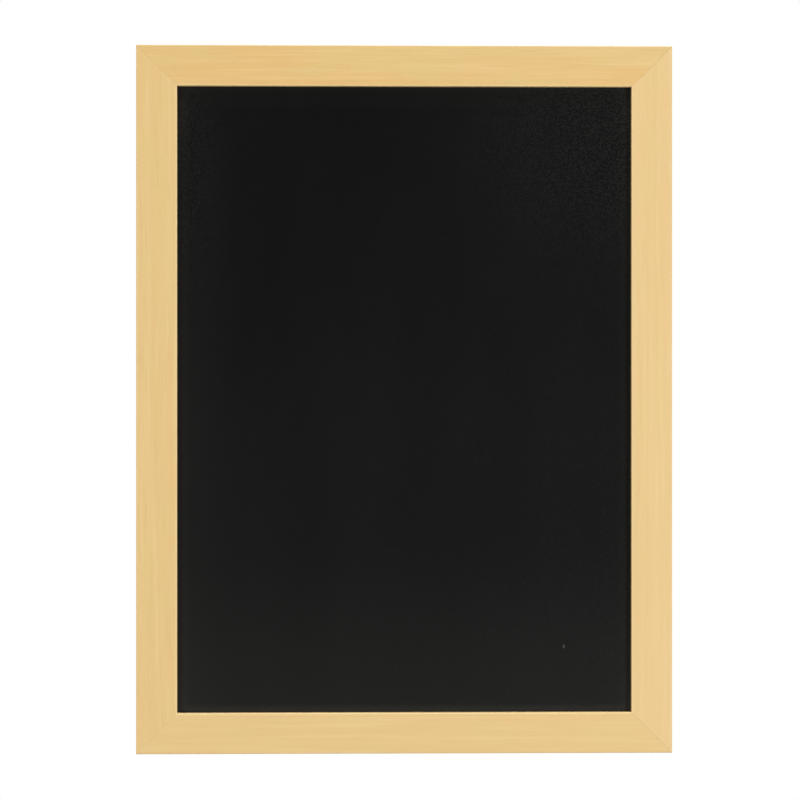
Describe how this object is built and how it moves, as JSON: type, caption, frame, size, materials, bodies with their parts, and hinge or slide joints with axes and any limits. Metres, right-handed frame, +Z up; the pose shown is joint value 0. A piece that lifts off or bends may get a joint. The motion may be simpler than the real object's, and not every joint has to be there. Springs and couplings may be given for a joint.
{
  "type": "framed wall chalkboard",
  "caption": "Portrait chalkboard for the wall: a black lacquered writing panel in a flat mitred light-wood frame, hung by hinged rings on its back.",
  "frame": {"origin": "midway between the two hanging rings, in the plane of the frame's back, at the height where the wall hooks bear", "axes": "+Z up the board as it hangs, +Y from the writing side towards the wall, +X to the right as seen from the front"},
  "size_m": [0.303, 0.0172, 0.4],
  "materials": {
    "wood_grain_foil": "satin printed foil in light natural wood, fine straight grain, wrapped round fibreboard",
    "blackboard_lacquer": "black lacquer with a fine stipple on hardboard, low sheen",
    "zinc_plated_steel": "bright zinc plate on stamped steel",
    "nickel_plated_wire": "bright nickel plate on drawn wire",
    "black_rubber": "matt moulded rubber"
  },
  "bodies": {
    "board": {"bottom_rail": "wood_grain_foil", "top_rail": "wood_grain_foil", "left_stile": "wood_grain_foil", "right_stile": "wood_grain_foil", "writing_panel": "blackboard_lacquer", "panel_point_bottom_1": "zinc_plated_steel", "panel_point_bottom_2": "zinc_plated_steel", "panel_point_top_1": "zinc_plated_steel", "panel_point_top_2": "zinc_plated_steel", "panel_point_left_1": "zinc_plated_steel", "panel_point_left_2": "zinc_plated_steel", "panel_point_left_3": "zinc_plated_steel", "panel_point_right_1": "zinc_plated_steel", "panel_point_right_2": "zinc_plated_steel", "panel_point_right_3": "zinc_plated_steel", "v_nail_bottom_left_1": "zinc_plated_steel", "v_nail_bottom_left_2": "zinc_plated_steel", "v_nail_bottom_right_1": "zinc_plated_steel", "v_nail_bottom_right_2": "zinc_plated_steel", "v_nail_top_left_1": "zinc_plated_steel", "v_nail_top_left_2": "zinc_plated_steel", "v_nail_top_right_1": "zinc_plated_steel", "v_nail_top_right_2": "zinc_plated_steel", "hanger_strap_left": "zinc_plated_steel", "hanger_strap_right": "zinc_plated_steel", "hanger_screw_left": "zinc_plated_steel", "hanger_screw_right": "zinc_plated_steel", "wall_bumper_left": "black_rubber", "wall_bumper_right": "black_rubber"},
    "left_ring": {"hanging_ring_left": "nickel_plated_wire"},
    "right_ring": {"hanging_ring_right": "nickel_plated_wire"}
  },
  "joints": [
    {"name": "left_ring_swing", "type": "hinge", "parent": "board", "child": "left_ring", "pos_m": [-0.143, 0.00205, -0.01027], "axis": [-1, 0, 0], "range_deg": [0, 167]},
    {"name": "right_ring_swing", "type": "hinge", "parent": "board", "child": "right_ring", "pos_m": [0.143, 0.00205, -0.01027], "axis": [-1, 0, 0], "range_deg": [0, 167]}
  ]
}
